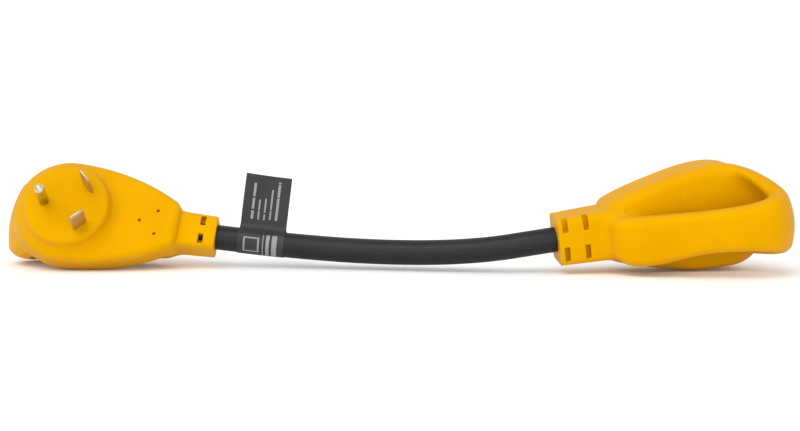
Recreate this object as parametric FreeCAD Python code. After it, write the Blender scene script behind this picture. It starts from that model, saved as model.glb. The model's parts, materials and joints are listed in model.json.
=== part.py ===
"""Dogbone power adapter: a moulded 30 A plug, a short three-core cable and a moulded 50 A socket.

Millimetres. The adapter lies on the plane Z = 0 with its length along X, plug at -X and socket at +X.
Each head is drawn in its own frame and then placed: x runs from the cable towards the rounded end,
z points out of the mating face, and the cable axis is the line y = z = 0.
"""
import FreeCAD
import Part
import math
import os
from FreeCAD import Vector

# Cable
JACKET_R = 7.4
JACKET_BORE_R = 5.45
WRAP_WALL = 0.25
CORE_R = 2.3
STRANDS_R = 1.55
CORE_PITCH_R = 2.8
FILLER_R = 0.85
FILLER_PITCH_R = 4.2
# Turning points of the cable axis: (along the adapter, across it, above the surface)
CABLE_ROUTE = [
    (-122.1, 7.7, 20.0),
    (-93.3, 6.3, 16.6),
    (-59.3, 3.5, 13.2),
    (-19.3, -1.5, 10.6),
    (22.7, -8.1, 10.5),
    (56.7, -15.3, 13.4),
    (85.3, -18.2, 18.5),
    (112.8, -14.8, 22.3),
]
CORNER_SHARE = 0.45  # how much of the shorter run each bend takes up
CORE_TAIL = 8.0  # how far the cores run straight on past the jacket's ends
CORE_ANGLES = dict(hot=90, neutral=210, ground=330)
FILLER_ANGLES = (30, 150, 270)
X, Y, Z = Vector(1, 0, 0), Vector(0, 1, 0), Vector(0, 0, 1)

# Plug head
PLUG_AT = Vector(-191.48, 10.99, 28.3)
PLUG_TURN = dict(facing=-1, yaw=-2.75, rise=6.8, tilt=31.2)
PLUG = dict(
    end_r=31.5, length=66.0, shoulder=12.8, front=14.6, back=-4.5, edge_r=5.0,
    collar=(22.0, 20.0), reach=22.0, collar_end=(21.0, 19.4), slot_rings=(-79.7,), slot_gap=2.4,
)
BOSS_R, BOSS_FACE = 25.0, 22.2
BOSS_FLARE_R, BOSS_EDGE_R = 3.5, 1.5
BOSS_ROOT = 6.0  # how deep the boss starts inside the body
PIN_HOLE_R, PIN_HOLE_DEPTH = 0.85, 3.0
PIN_HOLES = [(-43.0, 1.2), (-53.0, -6.2), (-53.0, 8.6)]
GROUND_PIN = dict(x=13.0, r=3.0, reach=20.0, root_r=2.4, root_rise=0.5)
PIN_RELIEF_R, PIN_RELIEF_DEPTH = 3.2, 0.6  # a shallow ring in the plug face round the pin
BLADE = dict(x=-10.7, y=12.3, width=9.0, thick=1.8, reach=16.6, turn=45.0, chamfer=0.7)
INSERT_R, INSERT_BACK, INSERT_FRONT = 21.5, -0.5, 18.5
METAL_FOOT = INSERT_BACK + 1.0  # where the blades and the pin start
BARREL_R, BARREL_DEPTH = 2.7, 6.0
BARREL_PAST = 1.0  # how far a crimp barrel runs on past its terminal
PLUG_WIRES = dict(
    hot=[(-18.5, -12.3, 3.5), (-34.0, -12.3, 3.5), (-50.0, -6.0, 1.5)],
    neutral=[(-18.5, 12.3, 3.5), (-34.0, 12.3, 3.5), (-50.0, 6.0, 1.5)],
    ground=[(5.0, 0.0, 3.5), (-24.0, 0.0, 3.5), (-50.0, 0.6, -0.8)],
)

# Socket head
SOCKET_AT = Vector(183.62, -6.11, 32.1)
SOCKET_TURN = dict(facing=1, yaw=7.0, rise=7.8, tilt=6.5)
SOCKET = dict(
    end_r=31.0, length=62.5, shoulder=15.0, front=17.5, back=-9.0, edge_r=6.0,
    collar=(29.5, 25.0), reach=27.5, collar_end=(28.0, 24.0), slot_rings=(-85.8, -73.6), slot_gap=4.6,
)

# Neck: how deep it starts inside the body, how much it spreads there, its corners and its rim
NECK_ROOT = 12.0
NECK_SPREAD_Y, NECK_SPREAD_Z = 0.8, 0.6
NECK_ROOT_CORNER, NECK_END_CORNER, NECK_RIM_R = 5.0, 4.5, 1.2
SLOT_WIDTH, SLOT_DEPTH = 3.2, 3.4
SLOT_CORE_R = 3.0
SIDE_RIB = 5.0  # width of the solid rib down each side between the flex slots

# Contacts and their carrier
FACE_SKIN = 3.5  # moulding in front of the contact carrier
CARRIER_R, CARRIER_BACK, CARRIER_SPLIT = 23.0, -2.2, 9.0
CONTACT_STRIP, CONTACT_GAP, CONTACT_TOP = 1.0, 2.2, 13.0
CONTACT_BACK, CONTACT_FLOOR = CARRIER_BACK + 0.7, CARRIER_BACK + 2.2
CONTACT_OUTER = CONTACT_GAP / 2 + CONTACT_STRIP
FLAT_CONTACTS = dict(
    hot_x=dict(x=0.0, y=-12.5, width=15.0),
    hot_y=dict(x=0.0, y=12.5, width=15.0),
    neutral=dict(x=-14.5, y=0.0, width=13.0),
)
FACE_SLOT = dict(thick=2.8, margin=0.4)
GROUND_HOLE = dict(x=14.5, r=3.3, wall=1.0)
TERMINAL_Z = -5.3
TERMINAL_TOP = CARRIER_BACK + 1.0
GROUND_TERMINAL_Y = 6.2
TAIL_BACK, TAIL_FRONT, TAIL_HALF = 3.0, 1.0, 1.0
LINK = dict(width=6.0, thick=1.2, z=0.0)
SOCKET_WIRES = dict(
    hot=[(-11.0, -12.5, TERMINAL_Z), (-33.0, -12.5, TERMINAL_Z), (-52.0, -5.0, -2.6)],
    neutral=[(-26.0, 0.0, TERMINAL_Z), (-41.0, 0.0, TERMINAL_Z), (-54.0, 1.5, -3.2)],
    ground=[
        (4.0, GROUND_TERMINAL_Y, TERMINAL_Z),
        (-32.0, GROUND_TERMINAL_Y, TERMINAL_Z),
        (-52.0, 4.4, -1.5),
    ],
)

# Handle sections: x, z, how steeply the centre line dives away from the body (degrees),
# width, thickness and how far the sides fall back from the crown
PLUG_GRIP = [
    (-60.0, 3.0, 90, 21.0, 11.0, 0.4),
    (-60.0, -6.0, 82, 21.0, 11.5, 0.4),
    (-56.0, -12.5, 42, 20.5, 11.0, 0.4),
    (-42.0, -17.5, 15, 19.0, 9.8, 0.4),
    (-12.0, -24.0, 13, 19.0, 9.8, 0.4),
    (10.0, -29.0, 11, 24.0, 10.0, 0.6),
    (25.0, -30.0, -20, 33.0, 10.5, 1.2),
    (33.0, -22.0, -64, 37.0, 11.0, 2.4),
    (30.5, -8.5, -106, 44.0, 12.0, 6.0),
    (21.0, 2.5, -130, 44.0, 12.0, 3.5),
]
SOCKET_GRIP = [
    (-55.0, 3.0, 90, 21.0, 13.0, 0.4),
    (-55.0, -12.0, 82, 21.0, 13.5, 0.4),
    (-50.0, -19.5, 42, 21.5, 12.0, 0.4),
    (-36.0, -24.6, 16, 22.0, 10.8, 0.5),
    (-10.0, -31.5, 15, 23.0, 10.8, 0.5),
    (12.0, -37.3, 12, 26.0, 11.0, 0.8),
    (29.5, -38.5, -22, 34.0, 11.5, 2.0),
    (38.5, -28.0, -66, 43.0, 12.0, 4.5),
    (34.0, -13.0, -108, 52.0, 13.0, 10.5),
    (21.0, -1.5, -130, 50.0, 12.0, 4.0),
]
GRIP_BULGE = 0.4  # how far the handle's sides swell, as a share of its thickness

# Flag label
LABEL_AT, LABEL_WIDTH, LABEL_RISE, LABEL_WALL = -76.8, 27.5, 32.5, 0.5

FAR = 80.0  # a length that reaches past anything a cutter has to cut


def placement(at, facing, yaw, rise, tilt):
    """Where a head stands: its face turned to -Y or +Y, then tilted, raised and turned."""
    long_axis = Vector(facing, 0, 0)
    base = FreeCAD.Rotation(long_axis, Vector(0, 0, -1), Vector(0, facing, 0), "XZY")
    turned = FreeCAD.Rotation(Vector(0, 0, 1), yaw)
    raised = FreeCAD.Rotation(long_axis.cross(Vector(0, 0, 1)), rise)
    tilted = FreeCAD.Rotation(long_axis, tilt)
    return FreeCAD.Placement(at, turned * raised * tilted * base)


def arc(a, b, c):
    return Part.Arc(a, b, c).toShape()


def line(a, b):
    return Part.LineSegment(a, b).toShape()


def closed(edges):
    return Part.Face(Part.Wire(edges))


def near(a, b):
    return abs(a - b) < 0.01


def rounded_rectangle(centre, along, up, width, height, corner):
    """A wire about centre: width measured along the one direction, height along the other."""
    w, h, k = width / 2, height / 2, corner * (1 - math.sqrt(0.5))

    def point(u, v):
        return centre + along * u + up * v

    edges = []
    for su, sv in ((1, 1), (-1, 1), (-1, -1), (1, -1)):
        ends = [point(su * w, sv * (h - corner)), point(su * (w - corner), sv * h)]
        if su != sv:
            ends.reverse()
        edges.append(arc(ends[0], point(su * (w - k), sv * (h - k)), ends[1]))
    joined = []
    for this, following in zip(edges, edges[1:] + edges[:1]):
        joined += [this, line(this.lastVertex().Point, following.firstVertex().Point)]
    return Part.Wire(joined)


def slab(end_r, length, shoulder, front, back, edge_r):
    """The teardrop body: a round end, two long tangent arcs and a straight shoulder."""
    drop = end_r - shoulder
    taper_r = (length * length + drop * drop) / (2 * drop)
    half = math.asin(length / taper_r) / 2
    mid = Vector(-taper_r * math.sin(half), taper_r * math.cos(half) - taper_r + end_r, back)

    def mirrored(v):
        return Vector(v.x, -v.y, v.z)

    top, corner = Vector(0, end_r, back), Vector(-length, shoulder, back)
    outline = closed([
        arc(top, Vector(end_r, 0, back), mirrored(top)),
        arc(mirrored(top), mirrored(mid), mirrored(corner)),
        line(mirrored(corner), corner),
        arc(corner, mid, top),
    ])
    body = outline.extrude(Vector(0, 0, front - back))
    uprights = [e for e in body.Edges if near(e.CenterOfMass.x, -length) and near(e.Length, front - back)]
    body = body.makeFillet(edge_r + 1.0, uprights)
    rims = [e for e in body.Edges if near(e.CenterOfMass.z, front) or near(e.CenterOfMass.z, back)]
    return body.makeFillet(edge_r, rims)


def collar(length, root, end, reach):
    """The strain relief neck: a soft rectangle that narrows a little towards the cable."""
    inside, tip = Vector(NECK_ROOT - length, 0, 0), Vector(-length - reach, 0, 0)
    size = (root[0] + NECK_SPREAD_Y, root[1] + NECK_SPREAD_Z)
    wide = rounded_rectangle(inside, Y, Z, *size, NECK_ROOT_CORNER)
    narrow = rounded_rectangle(tip, Y, Z, *end, NECK_END_CORNER)
    neck = Part.makeLoft([wide, narrow], True, True)
    rim = [e for e in neck.Edges if near(e.CenterOfMass.x, tip.x)]
    return neck.makeFillet(NECK_RIM_R, rim)


def slot_ring(x, end, gap):
    """A cutter for one ring of flex slots: it wraps the neck's corners and leaves four ribs."""
    ring = block((x - SLOT_WIDTH / 2, x + SLOT_WIDTH / 2), (-FAR, FAR), (-FAR, FAR))
    size = (end[0] - 2 * SLOT_DEPTH, end[1] - 2 * SLOT_DEPTH)
    core = rounded_rectangle(Vector(x - FAR, 0, 0), Y, Z, *size, SLOT_CORE_R)
    kept = Part.Face(core).extrude(Vector(2 * FAR, 0, 0))
    ribs = block((x - FAR, x + FAR), (-gap, gap), (-FAR, FAR))
    side_ribs = block((x - FAR, x + FAR), (-FAR, FAR), (-SIDE_RIB / 2, SIDE_RIB / 2))
    return ring.cut([kept, ribs, side_ribs])


def grip(sections):
    """The pull handle: a bow lofted through soft, slightly crowned sections along its centre line."""
    wires = []
    for x, z, dive, width, thick, crown in sections:
        turn = math.radians(dive)
        outward = Vector(-math.sin(turn), 0, -math.cos(turn))
        bulge = GRIP_BULGE * thick
        side = width / 2

        def point(across, out):
            return Vector(x, 0, z) + Y * across + outward * out

        corners = [
            point(across * (side - bulge), out * thick / 2 - crown)
            for across, out in ((-1, 1), (1, 1), (1, -1), (-1, -1))
        ]
        middles = [point(0, thick / 2), point(side, -crown), point(0, -thick / 2), point(-side, -crown)]
        following = corners[1:] + corners[:1]
        wires.append(Part.Wire([arc(p, m, q) for p, m, q in zip(corners, middles, following)]))
    return Part.makeLoft(wires, True, False)


def head(dims, bow):
    """Body, neck and handle as one moulding, with its flex slots cut."""
    size = [dims[key] for key in ("end_r", "length", "shoulder", "front", "back", "edge_r")]
    neck = collar(dims["length"], dims["collar"], dims["collar_end"], dims["reach"])
    whole = slab(*size).fuse([neck, bow])
    return whole.cut([slot_ring(x, dims["collar_end"], dims["slot_gap"]) for x in dims["slot_rings"]])


def quarter(centre_x, start, end, hollow_z):
    """A quarter round in the X-Z plane from start to end about (centre_x, hollow_z)."""
    centre = Vector(centre_x, 0, hollow_z)
    middle = (start + end) * 0.5 - centre
    return arc(start, centre + middle.normalize() * (start - centre).Length, end)


def boss():
    """The raised round plug face, with a hollow flare where it rises from the body."""
    root, low = PLUG["front"] - BOSS_ROOT, PLUG["front"]
    wide, soft = BOSS_R + BOSS_FLARE_R, BOSS_R - BOSS_EDGE_R
    flare_top, edge_low = low + BOSS_FLARE_R, BOSS_FACE - BOSS_EDGE_R
    profile = [
        line(Vector(0, 0, root), Vector(wide, 0, root)),
        line(Vector(wide, 0, root), Vector(wide, 0, low)),
        quarter(wide, Vector(wide, 0, low), Vector(BOSS_R, 0, flare_top), flare_top),
        line(Vector(BOSS_R, 0, flare_top), Vector(BOSS_R, 0, edge_low)),
        quarter(soft, Vector(BOSS_R, 0, edge_low), Vector(soft, 0, BOSS_FACE), edge_low),
        line(Vector(soft, 0, BOSS_FACE), Vector(0, 0, BOSS_FACE)),
        line(Vector(0, 0, BOSS_FACE), Vector(0, 0, root)),
    ]
    return closed(profile).revolve(Vector(), Z, 360)


def cylinder(radius, length, at, direction=Z):
    return Part.makeCylinder(radius, length, at, direction)


def block(x, y, z):
    """A box from three (low, high) pairs."""
    return Part.makeBox(x[1] - x[0], y[1] - y[0], z[1] - z[0], Vector(x[0], y[0], z[0]))


def about(shape, x, y, degrees):
    """Turn a shape drawn at the origin about Z and move it to x, y."""
    turned = shape.copy()
    turned.rotate(Vector(), Z, degrees)
    turned.translate(Vector(x, y, 0))
    return turned


def barrel(x, y, mouth):
    """A crimp barrel that lies towards the cable, from its mouth to just past x."""
    at = Vector(mouth[0], y, mouth[2])
    tube = cylinder(BARREL_R, x + BARREL_PAST - mouth[0], at, X)
    return tube.cut(cylinder(STRANDS_R, BARREL_DEPTH, at, X))


def blade(side):
    """A flat plug blade with a chamfered tip and its crimp barrel, in one stamping."""
    half, thick, top = BLADE["width"] / 2, BLADE["thick"] / 2, BOSS_FACE + BLADE["reach"]
    flat = block((-half, half), (-thick, thick), (METAL_FOOT, top))
    flat = flat.makeChamfer(BLADE["chamfer"], [e for e in flat.Edges if near(e.CenterOfMass.z, top)])
    turned = about(flat, BLADE["x"], side * BLADE["y"], side * BLADE["turn"])
    crimp = barrel(BLADE["x"], side * BLADE["y"], PLUG_WIRES["hot"][0])
    return turned.fuse(crimp).removeSplitter()


def ground_pin():
    """A round pin with a domed tip, a thinner root in the moulding, and its crimp barrel."""
    x, r, top = GROUND_PIN["x"], GROUND_PIN["r"], BOSS_FACE + GROUND_PIN["reach"]
    shoulder = BOSS_FACE + GROUND_PIN["root_rise"]
    root = cylinder(GROUND_PIN["root_r"], shoulder - METAL_FOOT, Vector(x, 0, METAL_FOOT))
    shank = cylinder(r, top - r - shoulder, Vector(x, 0, shoulder))
    dome = Part.makeSphere(r, Vector(x, 0, top - r))
    crimp = barrel(x, 0, PLUG_WIRES["ground"][0])
    return root.fuse([shank, dome, crimp]).removeSplitter()


def insert():
    """The hard disc that holds the blades and the pin while the head is moulded round it."""
    return cylinder(INSERT_R, INSERT_FRONT - INSERT_BACK, Vector(0, 0, INSERT_BACK))


def flat_contact(x, y, width, terminal):
    """Two spring leaves joined at the back as one folded strip, with a crimp barrel if it has a wire."""
    half = width / 2
    long = (x - half, x + half)
    strip = block(long, (y - CONTACT_OUTER, y + CONTACT_OUTER), (CONTACT_BACK, CONTACT_TOP))
    strip = strip.cut(block(long, (y - CONTACT_GAP / 2, y + CONTACT_GAP / 2), (CONTACT_FLOOR, CONTACT_TOP)))
    if terminal is None:
        return strip
    tail = block((x - TAIL_BACK, x + TAIL_FRONT), (y - TAIL_HALF, y + TAIL_HALF), (TERMINAL_Z, TERMINAL_TOP))
    return strip.fuse([tail, barrel(x, y, terminal)]).removeSplitter()


def ground_contact():
    """A sleeve for the round pin with a side tail to its crimp barrel."""
    x, r = GROUND_HOLE["x"], GROUND_HOLE["r"]
    outer = r + GROUND_HOLE["wall"]
    sleeve = cylinder(outer, CONTACT_TOP - CONTACT_BACK, Vector(x, 0, CONTACT_BACK))
    sleeve = sleeve.cut(cylinder(r, CONTACT_TOP, Vector(x, 0, CONTACT_FLOOR)))
    sideways = (-TAIL_HALF, GROUND_TERMINAL_Y + TAIL_HALF)
    tail = block((x - TAIL_BACK, x + TAIL_FRONT), sideways, (TERMINAL_Z, TERMINAL_TOP))
    crimp = barrel(x - TAIL_BACK / 2, GROUND_TERMINAL_Y, SOCKET_WIRES["ground"][0])
    return sleeve.fuse([tail, crimp]).removeSplitter()


def hot_link():
    """The strip that joins the two hot contacts."""
    half = abs(FLAT_CONTACTS["hot_x"]["y"]) - CONTACT_OUTER
    long = (-LINK["width"] / 2, LINK["width"] / 2)
    return block(long, (-half, half), (LINK["z"], LINK["z"] + LINK["thick"]))


def face_slots():
    """The openings through the socket face: three straight slots and the round one."""
    low, high = CONTACT_TOP - 1.0, SOCKET["front"] + 1.0
    cuts = [cylinder(GROUND_HOLE["r"], high - low, Vector(GROUND_HOLE["x"], 0, low))]
    for c in FLAT_CONTACTS.values():
        half, thick = c["width"] / 2 - FACE_SLOT["margin"], FACE_SLOT["thick"] / 2
        long = (c["x"] - half, c["x"] + half)
        cuts.append(block(long, (c["y"] - thick, c["y"] + thick), (low, high)))
    return cuts


def contact_cavities():
    """The pockets in the carrier that the contacts sit in, open at the front."""
    sleeve_r = GROUND_HOLE["r"] + GROUND_HOLE["wall"]
    cavities = [cylinder(sleeve_r, FAR, Vector(GROUND_HOLE["x"], 0, CONTACT_BACK))]
    for c in FLAT_CONTACTS.values():
        long = (c["x"] - c["width"] / 2, c["x"] + c["width"] / 2)
        wide = (c["y"] - CONTACT_OUTER, c["y"] + CONTACT_OUTER)
        cavities.append(block(long, wide, (CONTACT_BACK, FAR)))
    return cavities


def carrier(low, high):
    """A layer of the round carrier that holds the contacts."""
    return cylinder(CARRIER_R, high - low, Vector(0, 0, low))


def bends(points):
    """Straight runs joined by tangent arcs; returns the edges and the bend radii."""
    points = [Vector(*p) for p in points]
    edges, radii, start = [], [], points[0]
    for before, corner, after in zip(points, points[1:], points[2:]):
        back, on = (before - corner).normalize(), (after - corner).normalize()
        shorter = min((before - corner).Length, (after - corner).Length)
        half_turn = (math.pi - back.getAngle(on)) / 2
        radius = CORNER_SHARE * shorter / math.tan(half_turn)
        first = corner + back * (CORNER_SHARE * shorter)
        last = corner + on * (CORNER_SHARE * shorter)
        inward = (back + on).normalize()
        middle = corner + inward * (radius / math.cos(half_turn) - radius)
        edges += [line(start, first), arc(first, middle, last)]
        radii.append(radius)
        start = last
    edges.append(line(start, points[-1]))
    return edges, radii


def carried_on(points, by):
    """The same route with both ends moved outwards along their own runs."""
    points = [Vector(*p) for p in points]
    first = points[0] + (points[0] - points[1]).normalize() * by
    last = points[-1] + (points[-1] - points[-2]).normalize() * by
    return [first] + points[1:-1] + [last]


def tube(points, radius):
    """A round solid along a route."""
    edges = bends(points)[0]
    first = edges[0].firstVertex().Point
    ring = Part.Wire(Part.makeCircle(radius, first, first - edges[0].lastVertex().Point))
    return Part.Wire(edges).makePipeShell([ring], True, False)


def across(angle, radius):
    """A shift square to the adapter's length."""
    turn = math.radians(angle)
    return Vector(0, radius * math.cos(turn), radius * math.sin(turn))


def core_route(name):
    """One conductor from its plug terminal, along the cable, to its socket terminal."""
    shift = across(CORE_ANGLES[name], CORE_PITCH_R)
    at_plug = [plug.multVec(Vector(*p)) for p in PLUG_WIRES[name]]
    at_socket = [socket.multVec(Vector(*p)) for p in SOCKET_WIRES[name]]
    return at_plug + [p + shift for p in carried_on(CABLE_ROUTE, CORE_TAIL)] + at_socket[::-1]


def flag_label():
    """A printed strip folded round the cable and stuck to itself, standing up as a flag."""
    collar_ring = tube(CABLE_ROUTE, JACKET_R + LABEL_WALL)
    start = Vector(*CABLE_ROUTE[1])
    on = (Vector(*CABLE_ROUTE[2]) - start).normalize()
    side = on.cross(Z).normalize()
    up = side.cross(on)
    middle = start + on * ((LABEL_AT - start.x) / on.x)
    frame = FreeCAD.Placement(middle, FreeCAD.Rotation(on, side, up, "XZY"))
    long = (-LABEL_WIDTH / 2, LABEL_WIDTH / 2)
    window = block(long, (-2 * JACKET_R, 2 * JACKET_R), (-2 * JACKET_R, 2 * JACKET_R))
    flag = block(long, (-LABEL_WALL / 2, LABEL_WALL / 2), (JACKET_R, JACKET_R + LABEL_RISE))
    window.Placement = frame
    flag.Placement = frame
    return collar_ring.common(window).fuse(flag).cut(tube(CABLE_ROUTE, JACKET_R)).removeSplitter()


def build_cable():
    """Jacket, wrap, fillers, and each conductor's insulation and strands."""
    bore = tube(CABLE_ROUTE, JACKET_BORE_R)
    parts = {
        "cable_jacket": tube(CABLE_ROUTE, JACKET_R).cut(bore),
        "cable_wrap": bore.cut(tube(CABLE_ROUTE, JACKET_BORE_R - WRAP_WALL)),
    }
    for i, angle in enumerate(FILLER_ANGLES):
        route = [Vector(*p) + across(angle, FILLER_PITCH_R) for p in CABLE_ROUTE]
        parts["cable_filler_%d" % (i + 1)] = tube(route, FILLER_R)
    for name in CORE_ANGLES:
        route = core_route(name)
        strands = tube(carried_on(route, BARREL_DEPTH), STRANDS_R)
        parts[name + "_strands"] = strands
        parts[name + "_insulation"] = tube(route, CORE_R).cut(strands)
        print(name, "core bend radii, mm:", [round(r) for r in bends(route)[1]])
    parts["flag_label"] = flag_label()
    return parts


def buried(cable):
    """What the mouldings close round: the whole jacket and every core."""
    ends = ("_insulation", "_strands")
    return [tube(CABLE_ROUTE, JACKET_R)] + [shape for name, shape in cable.items() if name.endswith(ends)]


def build_plug(cable):
    """The plug: blades and pin set in an insert, with the head moulded round them."""
    metal = {
        "plug_hot_blade": blade(-1),
        "plug_neutral_blade": blade(1),
        "plug_ground_pin": ground_pin(),
    }
    holes = []
    for x, y in PIN_HOLES:
        foot = Vector(x, y, PLUG["front"] - PIN_HOLE_DEPTH)
        holes.append(cylinder(PIN_HOLE_R, PIN_HOLE_DEPTH + 1, foot))
    relief = Vector(GROUND_PIN["x"], 0, BOSS_FACE - PIN_RELIEF_DEPTH)
    holes.append(cylinder(PIN_RELIEF_R, PIN_RELIEF_DEPTH + 1, relief))
    body = head(PLUG, grip(PLUG_GRIP)).fuse(boss()).cut(holes)
    parts = placed({**metal, "plug_insert": insert(), "plug_overmould": body}, plug)
    tools = [parts[name] for name in metal] + buried(cable)
    parts["plug_overmould"] = cut_all(parts["plug_overmould"], [parts["plug_insert"]] + tools)
    parts["plug_insert"] = cut_all(parts["plug_insert"], tools)
    return parts


def build_socket(cable):
    """The socket: contacts in a two-layer carrier, with the head moulded round them."""
    top = SOCKET["front"] - FACE_SKIN
    terminals = dict(hot_x=SOCKET_WIRES["hot"][0], hot_y=None, neutral=SOCKET_WIRES["neutral"][0])
    contacts = {"socket_ground_contact": ground_contact(), "socket_hot_link": hot_link()}
    for name, where in FLAT_CONTACTS.items():
        contacts["socket_%s_contact" % name] = flat_contact(terminal=terminals[name], **where)
    placed(contacts, socket)
    tools = list(contacts.values()) + buried(cable)
    cavities = list(placed(dict(enumerate(contact_cavities())), socket).values())
    layers = {
        "socket_carrier_base": carrier(CARRIER_BACK, CARRIER_SPLIT),
        "socket_carrier_cover": carrier(CARRIER_SPLIT, top),
    }
    placed(layers, socket)
    body = head(SOCKET, grip(SOCKET_GRIP)).cut(face_slots() + [carrier(CARRIER_BACK, top)])
    body.Placement = socket
    parts = {"socket_overmould": cut_all(body, tools)}
    for name, layer in layers.items():
        parts[name] = cut_all(layer, cavities + tools)
    return {**parts, **contacts}


def placed(parts, where):
    for shape in parts.values():
        shape.Placement = where
    return parts


def cut_all(shape, tools):
    return shape.cut([t for t in tools if t.BoundBox.intersect(shape.BoundBox)])


plug = placement(PLUG_AT, **PLUG_TURN)
socket = placement(SOCKET_AT, **SOCKET_TURN)
os.makedirs("parts", exist_ok=True)
cable = build_cable()
for name, shape in {**build_plug(cable), **build_socket(cable), **cable}.items():
    print(name, round(shape.Volume, 1), len(shape.Solids), shape.isValid(), flush=True)
    shape.exportStep("parts/%s.step" % name)

runs, radii = bends(CABLE_ROUTE)
length = sum(edge.Length for edge in runs)
full = tube(CABLE_ROUTE, JACKET_R).Volume
print("cable bend radii, mm:", [round(r) for r in radii])
print("cable length, mm:", round(length, 1))
print("volume over section times length:", round(full / (math.pi * JACKET_R**2 * length), 4))
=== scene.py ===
"""Looks for a power adapter dogbone: two satin yellow mouldings, a black cable and a flag label."""

import json
import math

import bmesh
import bpy
import numpy as np
import openvdb
from mathutils import Matrix, Vector


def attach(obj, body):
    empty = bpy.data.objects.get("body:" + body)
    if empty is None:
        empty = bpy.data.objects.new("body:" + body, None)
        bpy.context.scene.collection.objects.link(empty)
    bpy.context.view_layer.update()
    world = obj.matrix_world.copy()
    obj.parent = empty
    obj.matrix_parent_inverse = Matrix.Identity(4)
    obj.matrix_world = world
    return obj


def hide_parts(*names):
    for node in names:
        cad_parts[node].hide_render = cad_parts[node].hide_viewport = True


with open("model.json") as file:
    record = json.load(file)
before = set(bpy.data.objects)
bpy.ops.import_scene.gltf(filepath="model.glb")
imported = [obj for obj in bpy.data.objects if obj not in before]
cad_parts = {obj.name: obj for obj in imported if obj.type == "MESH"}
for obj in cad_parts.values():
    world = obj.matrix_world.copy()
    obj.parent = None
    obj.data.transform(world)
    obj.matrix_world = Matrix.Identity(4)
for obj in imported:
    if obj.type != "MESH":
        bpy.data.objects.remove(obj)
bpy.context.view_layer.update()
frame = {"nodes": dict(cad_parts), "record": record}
MM = 0.001
MOUNTS = {mount["name"]: mount for mount in frame["record"]["mounts"]}

# Camera, in degrees and metres; the lens and its sensor in millimetres
VIEW_ELEVATION = 7.0
VIEW_DISTANCE = 1.118
VIEW_TARGET = Vector((0.0047, 0.0029, 0.0314))
LENS, SENSOR = 85.0, 36.0

# Cable axis, plug end to socket end, in metres
CABLE_ROUTE = [
    (-0.1221, 0.0077, 0.0200),
    (-0.0933, 0.0063, 0.0166),
    (-0.0593, 0.0035, 0.0132),
    (-0.0193, -0.0015, 0.0106),
    (0.0227, -0.0081, 0.0105),
    (0.0567, -0.0153, 0.0134),
    (0.0853, -0.0182, 0.0185),
    (0.1128, -0.0148, 0.0223),
]
CABLE_DIAMETER = 0.0148
CABLE_NODES = [
    name for name in frame["nodes"]
    if name.startswith("cable_") or name.endswith(("_insulation", "_strands"))
]

# Flag label, in millimetres and degrees: a strip folded round the cable and stuck to itself.
# Its two halves lie gap either side of the middle down to join above the cable, and bend out from
# there to meet the cable where it has turned by leave.
LABEL = dict(
    at=-77.3, width=27.5, rise=32.3, turn=1.3, r=7.62, join=3.0, leave=50.0, gap=0.16, wall=0.22,
    step=0.5, bend_steps=13, round_steps=44,
)
BEND_PULL = (2.6, 2.2)  # how long the bend runs straight at its top and at the cable
# The flag's curl: how far it leans over, twists and cups, all growing from start above the cable
CURL = dict(start=4.0, over=-1.6, twist=0.9, cup=0.5, cup_turn=2.2)
LABEL_CREASE = 60.0
LABEL_HOLD = 4.0  # half the stretch of cable that gives the label its direction
# Bars up the flag: place along the cable, width, and stretches measured down from the top edge
LABEL_BARS = [
    (-7.5, 2.0, [(4.9, 13.0), (13.8, 20.4), (21.4, 26.3)]),
    (-3.7, 1.0, [(14.3, 21.0), (21.7, 26.5)]),
    (-0.2, 1.0, [(13.5, 22.2), (22.9, 26.3)]),
    (3.3, 1.0, [(8.1, 20.0), (20.6, 26.1)]),
    (6.8, 1.5, [(2.8, 4.0), (4.5, 12.0), (12.5, 26.1)]),
]
# Bars on the part round the cable: place along the cable and width
WRAP_BARS = [(1.5, 0.5), (4.25, 2.0), (8.25, 3.0)]
WRAP_BAR_TOP, WRAP_BAR_END = 3.5, 19.0
WRAP_SQUARE = dict(at=-5.5, drop=10.5, half=4.6, line=0.9)

# Head mouldings, in millimetres, each drawn in its own frame: x from the cable towards the rounded
# end, z out of the mating face, with the cable on the line y = z = 0. fuller is how far the far
# end's corners stand out on the +y and -y sides. A handle's rows are x, z, width, thickness, crown
# and shift.
PLUG = dict(
    end_r=31.5, length=66.0, shoulder=12.8, front=14.6, back=-4.5,
    front_r=4.3, back_r=5.0, upright_r=3.5, dome=0.0, hollow=0.0, centre=0.0, fuller=(0.0, 0.0),
    collar=(22.0, 20.0), reach=22.0, collar_end=(21.0, 19.4), neck_r=4.0,
    slot_rings=(-79.7,), slot_gap=2.8, slot_reach=8.6, slot_shift=0.0, slot_depth=4.8,
    grip=[
        (-60.0, 3.0, 25.0, 11.0, 0.4, 0.0),
        (-60.0, -6.0, 25.0, 11.5, 0.4, 0.0),
        (-56.0, -12.5, 24.5, 11.0, 0.4, 0.0),
        (-42.0, -17.5, 22.0, 9.8, 0.4, 0.0),
        (-12.0, -24.0, 20.0, 9.8, 0.4, 0.0),
        (10.0, -29.0, 25.0, 10.0, 0.6, 0.0),
        (25.0, -30.0, 34.5, 10.5, 1.2, -0.4),
        (33.6, -21.3, 44.6, 11.0, 2.3, -3.9),
        (31.2, -8.5, 50.8, 12.0, 6.0, -1.2),
        (21.0, 2.5, 48.0, 12.0, 6.0, -0.5),
        (10.0, 6.0, 46.0, 11.0, 4.0, 0.0),
    ],
)
BOSS_R, BOSS_FACE = 25.0, 22.2
BOSS_EDGE_R, BOSS_FLARE = 2.2, 8.0
PIN_HOLES = [(-43.0, 1.2), (-53.0, -6.2), (-53.0, 8.6)]
PIN_HOLE_R, PIN_HOLE_DEPTH = 0.95, 3.0
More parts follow.
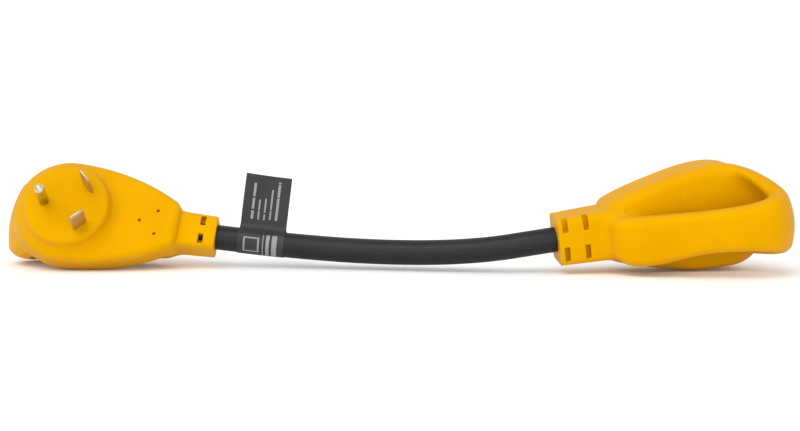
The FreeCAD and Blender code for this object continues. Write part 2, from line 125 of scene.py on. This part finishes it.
# Blades and pin: foot is the height at which each starts inside the head
BLADE = dict(
    x=-10.7, y=12.3, width=9.0, thick=1.8, turn=45.0, foot=15.0, reach=16.6, edge_r=0.22, points=32,
)
# A blade's tip: distance below its end, and how far its sides are drawn in
BLADE_TIP = [(1.3, 0.0), (0.9, 0.08), (0.35, 0.36), (0.1, 0.5), (0.0, 0.62)]
BLADE_TIP_ACROSS = 1.3  # how much more the narrow edges are drawn in than the flat sides
PIN = dict(
    x=13.0, r=3.0, root_r=2.4, root_rise=0.5, shoulder=0.15, foot=15.0, reach=20.0, points=48,
)
PIN_TIP_STEP, PIN_TIP_STEPS = 90 / 12.6, 13
METAL_CREASE = 50.0
SOCKET = dict(
    end_r=31.0, length=62.5, shoulder=15.0, front=17.5, back=-9.0,
    front_r=5.0, back_r=6.0, upright_r=5.0, dome=4.0, hollow=1.3, centre=1.2, fuller=(5.0, 1.2),
    collar=(29.5, 25.0), reach=27.5, collar_end=(28.0, 24.0), neck_r=4.4,
    slot_rings=(-85.8, -73.6), slot_gap=4.4, slot_reach=12.6, slot_shift=-1.6, slot_depth=4.3,
    grip=[
        (-55.0, 3.0, 23.0, 13.0, 0.4, 0.5),
        (-55.0, -12.0, 24.5, 13.5, 0.4, 1.0),
        (-50.0, -18.7, 28.5, 13.6, 0.4, 2.8),
        (-36.0, -24.1, 29.0, 11.8, 0.5, 3.0),
        (-10.0, -31.5, 25.0, 10.8, 0.5, 0.8),
        (12.0, -37.3, 26.5, 11.0, 0.8, 0.4),
        (29.5, -38.5, 32.0, 11.5, 2.0, 0.8),
        (38.5, -28.0, 39.0, 12.0, 4.5, 1.8),
        (34.5, -13.0, 47.0, 13.0, 8.0, -1.0),
        (22.0, -2.0, 52.0, 13.0, 7.0, -3.4),
        (8.0, 4.0, 52.0, 12.0, 4.0, -3.0),
    ],
)
FACE_SLOTS = [(0.0, -12.5, 14.2, 2.8), (0.0, 12.5, 14.2, 2.8), (-14.5, 0.0, 12.2, 2.8)]
FACE_SLOT_R = 0.4
GROUND_HOLE = dict(x=14.5, r=3.3)
POCKET_DEPTH = 16.0
SLOT_WIDTH = 3.0
PAST_FACE = 5.0  # how far a hole's cutter stands out of the face
DOME_RUN = 24.0  # how far in from its outline a domed back keeps rising
COLLAR_START = 12.0  # how far inside the body a neck starts
COLLAR_SPARE = (0.8, 0.6)  # extra width and height of a neck at its start
COLLAR_END_R = 0.7
COLLAR_BLEND, GRIP_BLEND = 1.2, 5.0
GRIP_CORNER = 0.42  # a handle section's corner radius, as a share of its thickness
GRIP_SCALE = 0.85  # keeps the handle's field from rising faster than true distance
GRIP_END = 1.0  # how far the handle runs on past its end rows

# How the mouldings are surfaced, in millimetres
VOXEL = 0.6
BAND = 5.0
PLUG_SPAN = (-92, -36, -40), (44, 36, 26)
SOCKET_SPAN = (-94, -36, -48), (50, 36, 22)
SETTLE_ROUNDS, SETTLE_MOST, SLOPE_STEP, LEAST_SLOPE = 3, 0.25, 0.05, 0.2
MOULDING_CREASE = 38.0


# ---------------------------------------------------------------- distance fields, in millimetres

def rounded_max(a, b, r):
    """Where two solids overlap, with the edge between them rounded to radius r."""
    corner = np.hypot(np.maximum(a + r, 0), np.maximum(b + r, 0))
    return np.minimum(np.maximum(a, b), -r) + corner


def blended(a, b, k):
    """Two solids joined, with a hollow about k wide where they meet."""
    h = np.clip(0.5 + 0.5 * (b - a) / k, 0, 1)
    return b + (a - b) * h - k * h * (1 - h)


def cut(a, b, r=0.3):
    """One solid less another, with the lip between them eased."""
    return rounded_max(a, -b, r)


def rounded_rectangle(u, v, half_u, half_v, r):
    du, dv = np.abs(u) - half_u + r, np.abs(v) - half_v + r
    corner = np.hypot(np.maximum(du, 0), np.maximum(dv, 0))
    return corner + np.minimum(np.maximum(du, dv), 0) - r


def slab(p, x, y, z):
    """The teardrop body: a round end, two long tangent arcs and a straight shoulder."""
    x, length = x - p["centre"], p["length"] + p["centre"]
    drop = p["end_r"] - p["shoulder"]
    taper_r = (length**2 + drop**2) / (2 * drop)
    side = np.hypot(x, np.abs(y) + taper_r - p["end_r"]) - taper_r
    side = side + p["hollow"] * np.sin(np.pi * np.clip(-x / length, 0, 1)) ** 2
    fuller = np.where(y > 0, *p["fuller"]) * (2 * x * y / np.maximum(x**2 + y**2, 1)) ** 2
    outline = np.where(x > 0, np.hypot(x, y) - p["end_r"] - fuller, side)
    outline = rounded_max(outline, -length - x, p["upright_r"])
    dome = p["dome"] * (1 - np.clip(1 + outline / DOME_RUN, 0, 1) ** 2)
    front = rounded_max(outline, z - p["front"], p["front_r"])
    return rounded_max(front, p["back"] - dome - z, p["back_r"])


def collar(p, x, y, z):
    """The strain relief neck, narrowing a little towards the cable."""
    near, far = p["length"] - COLLAR_START, p["length"] + p["reach"]
    t = np.clip((-x - near) / (far - near), 0, 1)
    half_y, half_z = (
        (start + spare) / 2 * (1 - t) + end / 2 * t
        for start, spare, end in zip(p["collar"], COLLAR_SPARE, p["collar_end"])
    )
    neck = rounded_rectangle(y, z, half_y, half_z, p["neck_r"])
    return np.maximum(rounded_max(neck, -far - x, COLLAR_END_R), x + near)


def grip_line(sections, steps=24):
    """A Catmull-Rom line through a handle's rows."""
    rows = np.array(sections)
    ends = np.vstack([2 * rows[0] - rows[1], rows, 2 * rows[-1] - rows[-2]])
    t = np.linspace(0, 1, steps, endpoint=False)[:, None]
    line = []
    for a, b, c, d in zip(ends, ends[1:], ends[2:], ends[3:]):
        cubic = 3 * (b - c) + d - a
        square = 2 * a - 5 * b + 4 * c - d
        line.append(b + 0.5 * t * (c - a + t * (square + t * cubic)))
    return np.vstack(line + [rows[-1:]])


def grip(p, x, y, z):
    """The pull handle: soft, slightly crowned sections along a bowed centre line."""
    line = grip_line(p["grip"])
    along = np.gradient(line[:, :2], axis=0)
    along /= np.linalg.norm(along, axis=1)[:, None]
    x, z = np.broadcast_arrays(x, z)
    nearest = np.zeros(x.shape, int)
    least = np.full(x.shape, 1e9)
    for i, (cx, cz) in enumerate(line[:, :2]):
        far = (x - cx) ** 2 + (z - cz) ** 2
        closer = far < least
        nearest[closer] = i
        least[closer] = far[closer]
    dx, dz = x - line[nearest, 0], z - line[nearest, 1]
    tx, tz = along[nearest, 0], along[nearest, 1]
    out = dx * tz - dz * tx
    at_end = (nearest == 0) | (nearest == len(line) - 1)
    past = np.where(at_end, np.abs(dx * tx + dz * tz), 0)
    width, thick, crown, shift = (line[nearest, k] for k in range(2, 6))
    y = y - shift
    out = out + crown * np.clip(np.abs(y) / (width / 2), 0, 1.2) ** 2
    section = rounded_rectangle(y, out, width / 2, thick / 2, GRIP_CORNER * thick)
    return np.maximum(section * GRIP_SCALE, past - GRIP_END)


def slot_ring(p, ring_x, x, y, z):
    """One ring of flex slots: a pair in the front and a pair in the back, clear of the corners."""
    floor = p["collar_end"][1] / 2 - p["slot_depth"]
    ring = np.maximum(np.abs(x - ring_x) - SLOT_WIDTH / 2, floor - np.abs(z))
    beside = np.abs(y - p["slot_shift"])
    return np.maximum(ring, np.maximum(p["slot_gap"] - beside, beside - p["slot_reach"]))


def between(z, low, high):
    return np.abs(z - (low + high) / 2) - (high - low) / 2


def cylinder(x, y, z, at, r, low, high):
    return np.maximum(np.hypot(x - at[0], y - at[1]) - r, between(z, low, high))


def head(p, x, y, z):
    body = blended(slab(p, x, y, z), collar(p, x, y, z), COLLAR_BLEND)
    body = blended(body, grip(p, x, y, z), GRIP_BLEND)
    for ring_x in p["slot_rings"]:
        body = cut(body, slot_ring(p, ring_x, x, y, z))
    return body


def plug_field(x, y, z):
    body = head(PLUG, x, y, z)
    boss_height = between(z, PLUG["back"], BOSS_FACE)
    boss = rounded_max(np.hypot(x, y) - BOSS_R, boss_height, BOSS_EDGE_R)
    body = blended(body, boss, BOSS_FLARE)
    low, high = PLUG["front"] - PIN_HOLE_DEPTH, PLUG["front"] + PAST_FACE
    for at in PIN_HOLES:
        body = cut(body, cylinder(x, y, z, at, PIN_HOLE_R, low, high))
    return body


def socket_field(x, y, z):
    body = head(SOCKET, x, y, z)
    low, high = SOCKET["front"] - POCKET_DEPTH, SOCKET["front"] + PAST_FACE
    for at_x, at_y, length, thick in FACE_SLOTS:
        pocket = rounded_rectangle(x - at_x, y - at_y, length / 2, thick / 2, FACE_SLOT_R)
        body = cut(body, np.maximum(pocket, between(z, low, high)))
    return cut(body, cylinder(x, y, z, (GROUND_HOLE["x"], 0), GROUND_HOLE["r"], low, high))


# ---------------------------------------------------------------- meshes

def head_frame(face, ground, face_z):
    """The matrix from a head's own frame in millimetres to the row frame, from its two mounts."""
    up = Vector(MOUNTS[face]["axis"]).normalized()
    across = Vector(MOUNTS[ground]["pos_m"]) - Vector(MOUNTS[face]["pos_m"])
    along = (across - up * across.dot(up)).normalized()
    side = up.cross(along)
    origin = Vector(MOUNTS[face]["pos_m"]) - up * face_z * MM
    turn = Matrix((along, side, up)).transposed()
    return Matrix.Translation(origin) @ turn.to_4x4() @ Matrix.Scale(MM, 4)


def settle(points, field):
    """Moves points onto the field's surface."""
    step = SLOPE_STEP
    for _ in range(SETTLE_ROUNDS):
        x, y, z = points.T
        d = field(x, y, z)
        ahead = [field(x + step, y, z), field(x, y + step, z), field(x, y, z + step)]
        slope = np.stack([value - d for value in ahead], 1)
        slope /= step
        size = np.maximum((slope**2).sum(1), LEAST_SLOPE)
        shift = slope * (d / size)[:, None]
        points = points - np.clip(shift, -SETTLE_MOST, SETTLE_MOST)
    return points


def moulding(name, field, span, matrix):
    """A closed mesh of the surface where a distance field is zero."""
    low, high = span
    axes = [np.arange(a, b, VOXEL) for a, b in zip(low, high)]
    x, y, z = np.meshgrid(*axes, indexing="ij", sparse=True)
    grid = openvdb.FloatGrid(BAND)
    grid.copyFromArray(np.ascontiguousarray(field(x, y, z), dtype=np.float32))
    points, quads = grid.convertToQuads(0.0)
    points = settle(points * VOXEL + np.array(low), field)
    mesh = bpy.data.meshes.new(name)
    mesh.from_pydata(points.tolist(), [], quads[:, ::-1].tolist())
    mesh.transform(matrix)
    return finished(name, mesh, MOULDING_CREASE)


def finished(name, mesh, crease):
    """An object of a mesh, smooth except along edges sharper than crease degrees."""
    mesh.validate()
    mesh.shade_smooth()
    mesh.set_sharp_from_angle(angle=math.radians(crease))
    piece = bpy.data.objects.new(name, mesh)
    bpy.context.scene.collection.objects.link(piece)
    return piece


plug_matrix = head_frame("plug_face", "plug_ground_pin", BOSS_FACE)
socket_matrix = head_frame("socket_face", "socket_ground_hole", SOCKET["front"])
plug_body = moulding("plug_moulding", plug_field, PLUG_SPAN, plug_matrix)
socket_body = moulding("socket_moulding", socket_field, SOCKET_SPAN, socket_matrix)
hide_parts("plug_overmould")
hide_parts("socket_overmould")
for piece in (plug_body, socket_body):
    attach(piece, "root")


# ---------------------------------------------------------------- blades and pin

def lofted(name, rings):
    """A closed mesh through rings of points, drawn in the plug's own frame in millimetres."""
    count = len(rings[0])
    made = bmesh.new()
    rows = [[made.verts.new(plug_matrix @ Vector(p)) for p in ring] for ring in rings]
    for low, high in zip(rows, rows[1:]):
        for i in range(count):
            j = (i + 1) % count
            made.faces.new((low[i], low[j], high[j], high[i]))
    made.faces.new(reversed(rows[0]))
    made.faces.new(rows[-1])
    bmesh.ops.recalc_face_normals(made, faces=made.faces)
    mesh = bpy.data.meshes.new(name)
    made.to_mesh(mesh)
    made.free()
    return finished(name, mesh, METAL_CREASE)


def blade_ring(half_u, half_v, z, side):
    """A rounded rectangle across a blade, turned and moved to its place on the plug face."""
    turn, r = math.radians(side * BLADE["turn"]), BLADE["edge_r"]
    ring = []
    for i in range(BLADE["points"]):
        angle = 2 * math.pi * (i + 0.5) / BLADE["points"]
        u = math.copysign(half_u - r, math.cos(angle)) + r * math.cos(angle)
        v = math.copysign(half_v - r, math.sin(angle)) + r * math.sin(angle)
        x = BLADE["x"] + u * math.cos(turn) - v * math.sin(turn)
        y = side * BLADE["y"] + u * math.sin(turn) + v * math.cos(turn)
        ring.append((x, y, z))
    return ring


def blade(name, side):
    """A stamped blade: eased edges, and a tip that narrows on all four sides."""
    top = BOSS_FACE + BLADE["reach"]
    half_u, half_v = BLADE["width"] / 2, BLADE["thick"] / 2
    steps = [(BLADE["foot"], 0.0)] + [(top - below, inset) for below, inset in BLADE_TIP]
    rings = [
        blade_ring(half_u - BLADE_TIP_ACROSS * inset, half_v - inset, z, side)
        for z, inset in steps
    ]
    return lofted(name, rings)


def pin(name):
    """The round ground pin: a narrower root, a short shoulder and a domed tip."""
    top, r, rise = BOSS_FACE + PIN["reach"], PIN["r"], PIN["shoulder"]
    root = BOSS_FACE + PIN["root_rise"]
    outline = [(PIN["foot"], PIN["root_r"]), (root, PIN["root_r"])]
    outline += [(root + rise, r - rise), (root + 2 * rise, r)]
    for i in range(PIN_TIP_STEPS):
        angle = math.radians(PIN_TIP_STEP * i)
        outline.append((top - r + r * math.sin(angle), r * math.cos(angle)))
    angles = [2 * math.pi * i / PIN["points"] for i in range(PIN["points"])]
    rings = [
        [(PIN["x"] + radius * math.cos(a), radius * math.sin(a), z) for a in angles]
        for z, radius in outline
    ]
    return lofted(name, rings)


hot_blade = blade("hot_blade", -1)
neutral_blade = blade("neutral_blade", 1)
ground_pin = pin("ground_pin")
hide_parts("plug_hot_blade")
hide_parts("plug_neutral_blade")
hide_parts("plug_ground_pin")
for piece in (hot_blade, neutral_blade, ground_pin):
    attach(piece, "root")


# ---------------------------------------------------------------- cable

def cable_curve():
    curve = bpy.data.curves.new("cable", "CURVE")
    curve.dimensions = "3D"
    curve.resolution_u = 24
    spline = curve.splines.new("NURBS")
    spline.points.add(len(CABLE_ROUTE) - 1)
    for point, at in zip(spline.points, CABLE_ROUTE):
        point.co = (*at, 1.0)
        point.radius = CABLE_DIAMETER / 2
    spline.order_u = 3
    spline.use_endpoint_u = True
    piece = bpy.data.objects.new("cable", curve)
    bpy.context.scene.collection.objects.link(piece)
    return piece


cord = cable_curve()
bpy.context.view_layer.update()
cord_now = cord.evaluated_get(bpy.context.evaluated_depsgraph_get())
cord_mesh = bpy.data.meshes.new_from_object(cord_now)
CORD_LINE = np.array(sorted(tuple(v.co) for v in cord_mesh.vertices))
bpy.data.meshes.remove(cord_mesh)
cord.data.bevel_depth = 1.0  # times each point's radius
cord.data.bevel_resolution = 12
cord.data.use_fill_caps = True
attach(cord, "root")
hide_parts(*CABLE_NODES)


# ---------------------------------------------------------------- label

def label_path():
    """The folded strip seen end on: its points, sideways and up from the cable's axis, and how far
    along the strip each one is."""
    r, lean = LABEL["r"], math.radians(LABEL["leave"])
    top, join = r + LABEL["rise"], r + LABEL["join"]
    down = [(LABEL["gap"], h) for h in np.arange(top, join, -LABEL["step"])]
    a = np.array((LABEL["gap"], join))
    d = np.array((r * math.sin(lean), r * math.cos(lean)))
    above, beside = BEND_PULL
    b, c = a - (0, above), d + (-beside * math.cos(lean), beside * math.sin(lean))
    t = np.linspace(0, 1, LABEL["bend_steps"])[:-1, None]
    bend = a * (1 - t) ** 3 + 3 * b * t * (1 - t) ** 2 + 3 * c * t**2 * (1 - t) + d * t**3
    turns = np.linspace(lean, math.pi, LABEL["round_steps"])
    around = [(r * math.sin(v), r * math.cos(v)) for v in turns]
    front = np.array(down + bend.tolist() + around)
    back = front[-2::-1] * (-1, 1)
    path = np.vstack([front, back])
    steps = np.linalg.norm(np.diff(path, axis=0), axis=1)
    return path, np.concatenate([[0], np.cumsum(steps)])


def printed(u, drop, wrap_drop):
    """Whether a spot on the label carries print: its place along the cable, and how far it is past
    the flag's top edge and past the start of the part round the cable."""
    if wrap_drop < 0:
        for at, width, stretches in LABEL_BARS:
            if abs(u - at) < width / 2:
                return any(low < drop < high for low, high in stretches)
        return False
    off = max(abs(u - WRAP_SQUARE["at"]), abs(wrap_drop - WRAP_SQUARE["drop"]))
    if off < WRAP_SQUARE["half"]:
        return off > WRAP_SQUARE["half"] - WRAP_SQUARE["line"]
    if not WRAP_BAR_TOP < wrap_drop < WRAP_BAR_END:
        return False
    return any(abs(u - at) < width / 2 for at, width in WRAP_BARS)


def on_cord(x):
    """The point of the cable's axis at a place along X."""
    along, *_ = CORD_LINE.T
    return Vector([float(np.interp(x, along, column)) for column in CORD_LINE.T])


def label_points(path, columns):
    """The strip's points, column by column along the cable, with an inner and an outer skin."""
    ahead = np.gradient(path, axis=0)
    ahead /= np.linalg.norm(ahead, axis=1)[:, None]
    normal = np.stack([-ahead[:, 1], ahead[:, 0]], axis=1)
    middle, r, half = LABEL["at"] * MM, LABEL["r"], LABEL["width"] / 2
    hold = LABEL_HOLD * MM
    along = (on_cord(middle + hold) - on_cord(middle - hold)).normalized()
    side = along.cross(Vector((0, 0, 1))).normalized()
    up = side.cross(along)
    slant = math.tan(math.radians(LABEL["turn"]))
    wall = LABEL["wall"] / 2
    points = []
    for u in columns:
        centre = on_cord(middle + along.x * u * MM)
        for (across, height), (nx, ny) in zip(path, normal):
            lift = max(height - r - CURL["start"], 0) / LABEL["rise"]
            curl = (CURL["over"] + CURL["twist"] * u / half) * lift**2
            curl += CURL["cup"] * lift * math.cos(CURL["cup_turn"] * u / half)
            lean = along * max(height - r, 0) - up * u * min(max(height / r - 1, 0), 1)
            for skin in (-wall, wall):
                at = side * (across + nx * skin + curl) + up * (height + ny * skin) + lean * slant
                points.append(centre + at * MM)
    return points


def label_faces(path, distance, columns):
    """The strip's faces over both skins and all four edges, and how much ink each carries."""
    rows, count = len(path), len(columns)

    def index(i, j, skin):
        return (i * rows + j) * 2 + skin

    faces, marks = [], []
    round_at = distance[np.argmax(path[:, 1] < LABEL["r"])]
    for i in range(count - 1):
        for j in range(rows - 1):
            u, s = columns[i] + LABEL["step"] / 2, (distance[j] + distance[j + 1]) / 2
            on_print = path[j, 0] > 0 and printed(u, s, s - round_at)
            corners = [(i, j), (i + 1, j), (i + 1, j + 1), (i, j + 1)]
            for skin in (0, 1):
                quad = [index(*corner, skin) for corner in corners]
                faces.append(quad if skin else quad[::-1])
                marks.append(float(on_print))
    ends = [((i, j), (i + 1, j)) for i in range(count - 1) for j in (0, rows - 1)]
    ends += [((i, j), (i, j + 1)) for j in range(rows - 1) for i in (0, count - 1)]
    for a, b in ends:
        faces.append([index(*a, 0), index(*b, 0), index(*b, 1), index(*a, 1)])
        marks.append(0.0)
    return faces, marks


def label():
    """The folded label as one closed sheet, with an ink value on each face."""
    path, distance = label_path()
    half = LABEL["width"] / 2
    columns = np.arange(-half, half + LABEL["step"] / 2, LABEL["step"])
    faces, marks = label_faces(path, distance, columns)
    mesh = bpy.data.meshes.new("label")
    mesh.from_pydata(label_points(path, columns), [], faces)
    ink = mesh.attributes.new("ink", "FLOAT", "FACE")
    ink.data.foreach_set("value", marks)
    fixed = bmesh.new()
    fixed.from_mesh(mesh)
    bmesh.ops.recalc_face_normals(fixed, faces=fixed.faces)
    fixed.to_mesh(mesh)
    fixed.free()
    return finished("label", mesh, LABEL_CREASE)


flag = label()
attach(flag, "root")
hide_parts("flag_label")


# ---------------------------------------------------------------- materials

BLACK, WHITE = (0.0, 0.0, 0.0), (1.0, 1.0, 1.0)


def material(name):
    """A new material, its node tree and its shader."""
    made = bpy.data.materials.new(name)
    made.use_nodes = True
    tree = made.node_tree
    return made, tree, tree.nodes["Principled BSDF"]


def noise(tree, scale, detail=4.0, stretch=(1, 1, 1)):
    """Noise in the row frame, with scale in features per metre."""
    where = tree.nodes.new("ShaderNodeTexCoord")
    mapping = tree.nodes.new("ShaderNodeMapping")
    mapping.inputs["Scale"].default_value = stretch
    made = tree.nodes.new("ShaderNodeTexNoise")
    made.inputs["Scale"].default_value = scale
    made.inputs["Detail"].default_value = detail
    tree.links.new(where.outputs["Object"], mapping.inputs["Vector"])
    tree.links.new(mapping.outputs["Vector"], made.inputs["Vector"])
    return made.outputs["Fac"]


def ramp(tree, source, stops):
    """A colour for each value of a source, between stops of place and colour."""
    made = tree.nodes.new("ShaderNodeValToRGB")
    elements = made.color_ramp.elements
    while len(elements) < len(stops):
        elements.new(0.5)
    for element, (at, colour) in zip(elements, stops):
        element.position = at
        element.color = (*colour, 1.0)
    tree.links.new(source, made.inputs["Fac"])
    return made.outputs["Color"]


def spread(tree, source, low, high):
    """A source from nought to one, taken to a range from low to high."""
    made = tree.nodes.new("ShaderNodeMapRange")
    made.inputs["To Min"].default_value = low
    made.inputs["To Max"].default_value = high
    tree.links.new(source, made.inputs["Value"])
    return made.outputs["Result"]


def bump(tree, shader, source, strength, depth, under=None):
    """Relief on a shader, over the relief under it if there is one."""
    made = tree.nodes.new("ShaderNodeBump")
    made.inputs["Strength"].default_value = strength
    made.inputs["Distance"].default_value = depth
    tree.links.new(source, made.inputs["Height"])
    if under is not None:
        tree.links.new(under, made.inputs["Normal"])
    tree.links.new(made.outputs["Normal"], shader.inputs["Normal"])
    return made.outputs["Normal"]


def edges(tree, low, high):
    """Nought on flat and hollow ground, one along the outer edges."""
    made = tree.nodes.new("ShaderNodeNewGeometry")
    span = tree.nodes.new("ShaderNodeMapRange")
    span.inputs["From Min"].default_value = low
    span.inputs["From Max"].default_value = high
    tree.links.new(made.outputs["Pointiness"], span.inputs["Value"])
    return span.outputs["Result"]


def mixed(tree, amount, a, b):
    """A colour a, with b over it by an amount."""
    made = tree.nodes.new("ShaderNodeMix")
    made.data_type = "RGBA"
    tree.links.new(amount, made.inputs["Factor"])
    for socket, value in ((made.inputs[6], a), (made.inputs[7], b)):
        if isinstance(value, tuple):
            socket.default_value = (*value, 1.0)
        else:
            tree.links.new(value, socket)
    return made.outputs[2]


def times(tree, source, factor):
    """A source times a number or another source."""
    made = tree.nodes.new("ShaderNodeMath")
    made.operation = "MULTIPLY"
    for socket, value in zip(made.inputs, (source, factor)):
        if isinstance(value, float):
            socket.default_value = value
        else:
            tree.links.new(value, socket)
    return made.outputs[0]


def yellow_material():
    """Satin PVC: faint flow clouds, a fine grain, specks of dust and rubbed outer edges."""
    made, tree, shader = material("yellow_moulding")
    deep, pale = (0.58, 0.272, 0.0), (0.64, 0.314, 0.0)
    rub_colour, dust_colour = (0.76, 0.43, 0.01), (0.34, 0.15, 0.002)
    rub_amount, dust_amount = 0.35, 0.18
    flow = ramp(tree, noise(tree, 24, 3), [(0.28, deep), (0.72, pale)])
    rubbed = mixed(tree, times(tree, edges(tree, 0.51, 0.60), rub_amount), flow, rub_colour)
    specks = ramp(tree, noise(tree, 900, 2), [(0.74, BLACK), (0.80, WHITE)])
    soiled = mixed(tree, times(tree, specks, dust_amount), rubbed, dust_colour)
    tree.links.new(soiled, shader.inputs["Base Color"])
    rough = spread(tree, noise(tree, 320, 5), 0.40, 0.56)
    tree.links.new(rough, shader.inputs["Roughness"])
    under = bump(tree, shader, noise(tree, 60, 2), strength=0.10, depth=0.0006)
    bump(tree, shader, noise(tree, 1700, 3), strength=0.10, depth=0.0002, under=under)
    shader.inputs["Specular IOR Level"].default_value = 0.22
    shader.inputs["Specular Tint"].default_value = (1.0, 0.70, 0.0, 1.0)
    return made


def jacket_material():
    """A smooth extruded jacket with drawn-out streaks and a few scuffs."""
    made, tree, shader = material("jacket_black")
    deep, pale = (0.006, 0.006, 0.0065), (0.012, 0.012, 0.013)
    scuff_colour, scuff_amount = (0.035, 0.035, 0.037), 0.35
    streaks = noise(tree, 60, 4, stretch=(0.2, 6, 6))
    base = ramp(tree, streaks, [(0.3, deep), (0.8, pale)])
    scuffs = ramp(tree, noise(tree, 260, 5, stretch=(1.6, 1, 1)), [(0.66, BLACK), (0.76, WHITE)])
    scuffed = mixed(tree, times(tree, scuffs, scuff_amount), base, scuff_colour)
    tree.links.new(scuffed, shader.inputs["Base Color"])
    rough = spread(tree, noise(tree, 150, 4, stretch=(0.4, 3, 3)), 0.36, 0.50)
    tree.links.new(rough, shader.inputs["Roughness"])
    under = bump(tree, shader, streaks, strength=0.18, depth=0.0004)
    bump(tree, shader, noise(tree, 1500, 2), strength=0.08, depth=0.0002, under=under)
    shader.inputs["Specular IOR Level"].default_value = 0.26
    return made


def label_material():
    """Dark satin film with pale print; the print is worn here and there."""
    made, tree, shader = material("label_stock")
    deep, pale = (0.018, 0.018, 0.019), (0.027, 0.027, 0.028)
    ink_colour = (0.38, 0.38, 0.37)
    film = ramp(tree, noise(tree, 90, 3), [(0.3, deep), (0.7, pale)])
    ink = tree.nodes.new("ShaderNodeAttribute")
    ink.attribute_name = "ink"
    worn = spread(tree, noise(tree, 2600, 3), 0.25, 0.95)
    amount = times(tree, ink.outputs["Fac"], worn)
    tree.links.new(mixed(tree, amount, film, ink_colour), shader.inputs["Base Color"])
    rough = spread(tree, noise(tree, 400, 3), 0.38, 0.52)
    tree.links.new(rough, shader.inputs["Roughness"])
    bump(tree, shader, noise(tree, 700, 3), strength=0.08, depth=0.0002)
    shader.inputs["Specular IOR Level"].default_value = 0.30
    return made


def metal_material(name, dark, light, roughness):
    """Burnished metal: fine drawn lines, a mottled tarnish and brighter edges."""
    made, tree, shader = material(name)
    shader.inputs["Metallic"].default_value = 1.0
    tarnish = ramp(tree, noise(tree, 260, 5), [(0.3, dark), (0.7, light)])
    bright = tuple(min(1.0, 1.15 * c + 0.03) for c in light)
    worn = mixed(tree, edges(tree, 0.52, 0.62), tarnish, bright)
    tree.links.new(worn, shader.inputs["Base Color"])
    tree.links.new(spread(tree, noise(tree, 900, 4), *roughness), shader.inputs["Roughness"])
    lines = noise(tree, 2500, 2, stretch=(1, 0.15, 1))
    bump(tree, shader, lines, strength=0.12, depth=0.0001)
    return made


def nylon_material():
    """Matt moulded nylon with faint clouds."""
    made, tree, shader = material("insert_plastic")
    dark, light = (0.66, 0.62, 0.52), (0.74, 0.70, 0.60)
    clouds = ramp(tree, noise(tree, 180, 4), [(0.3, dark), (0.7, light)])
    tree.links.new(clouds, shader.inputs["Base Color"])
    rough = spread(tree, noise(tree, 500, 3), 0.45, 0.65)
    tree.links.new(rough, shader.inputs["Roughness"])
    bump(tree, shader, noise(tree, 2200, 2), strength=0.1, depth=0.0002)
    return made


def paint(piece, made):
    piece.data.materials.clear()
    piece.data.materials.append(made)


yellow = yellow_material()
brass = metal_material("blade_brass", (0.40, 0.29, 0.16), (0.60, 0.48, 0.31), (0.28, 0.44))
nickel = metal_material("pin_nickel", (0.52, 0.43, 0.30), (0.80, 0.74, 0.62), (0.16, 0.30))
strip = metal_material("contact_brass", (0.55, 0.36, 0.15), (0.72, 0.52, 0.27), (0.3, 0.5))
nylon = nylon_material()
paint(plug_body, yellow)
paint(socket_body, yellow)
paint(cord, jacket_material())
paint(flag, label_material())
paint(hot_blade, brass)
paint(neutral_blade, brass)
paint(ground_pin, nickel)
for name, node in frame["nodes"].items():
    if name.endswith(("contact", "link")):
        paint(node, strip)
    elif "carrier" in name or "insert" in name:
        paint(node, nylon)


# ---------------------------------------------------------------- stage

FLOOR_HALF = 40.0  # far enough for its edge to be out of the frame
WORLD_STRENGTH = 0.86
LAMP_TARGET = Vector((0, 0, 0.03))


def stage():
    mesh = bpy.data.meshes.new("floor")
    corners = [(-1, -1), (1, -1), (1, 1), (-1, 1)]
    mesh.from_pydata([(x * FLOOR_HALF, y * FLOOR_HALF, 0) for x, y in corners], [], [(0, 1, 2, 3)])
    floor = bpy.data.objects.new("floor", mesh)
    bpy.context.scene.collection.objects.link(floor)
    made, tree, shader = material("floor")
    pale = ramp(tree, noise(tree, 3), [(0.3, (0.94, 0.94, 0.94)), (0.7, (0.96, 0.96, 0.96))])
    tree.links.new(pale, shader.inputs["Base Color"])
    shader.inputs["Roughness"].default_value = 0.9
    floor.data.materials.append(made)


def lamp(name, at, power, size):
    light = bpy.data.lights.new(name, "AREA")
    light.energy = power
    light.shape = "RECTANGLE"
    light.size, light.size_y = size
    piece = bpy.data.objects.new(name, light)
    piece.location = at
    piece.rotation_euler = (LAMP_TARGET - Vector(at)).to_track_quat("-Z", "Y").to_euler()
    bpy.context.scene.collection.objects.link(piece)


def sun(name, at, strength, softness):
    light = bpy.data.lights.new(name, "SUN")
    light.energy = strength
    light.angle = math.radians(softness)
    piece = bpy.data.objects.new(name, light)
    piece.rotation_euler = (-Vector(at)).to_track_quat("-Z", "Y").to_euler()
    bpy.context.scene.collection.objects.link(piece)


def camera():
    lens = bpy.data.cameras.new("camera")
    lens.lens = LENS
    lens.sensor_width = SENSOR
    piece = bpy.data.objects.new("camera", lens)
    up = math.radians(VIEW_ELEVATION)
    away = Vector((0, -math.cos(up), math.sin(up)))
    piece.location = VIEW_TARGET + away * VIEW_DISTANCE
    piece.rotation_euler = (-away).to_track_quat("-Z", "Y").to_euler()
    bpy.context.scene.collection.objects.link(piece)
    bpy.context.scene.camera = piece


def surroundings():
    world = bpy.data.worlds.new("studio")
    world.use_nodes = True
    background = world.node_tree.nodes["Background"]
    background.inputs["Color"].default_value = (1, 1, 1, 1)
    background.inputs["Strength"].default_value = WORLD_STRENGTH
    bpy.context.scene.world = world
    bpy.context.scene.view_settings.view_transform = "Standard"


stage()
sun("key", (-0.45, -0.70, 1.0), 1.5, 50)
lamp("fill", (0.9, -1.0, 0.6), 0.6, (0.8, 0.6))
lamp("front", (0.1, -1.25, 0.25), 3.6, (1.2, 0.5))
camera()
surroundings()

bpy.context.view_layer.update()
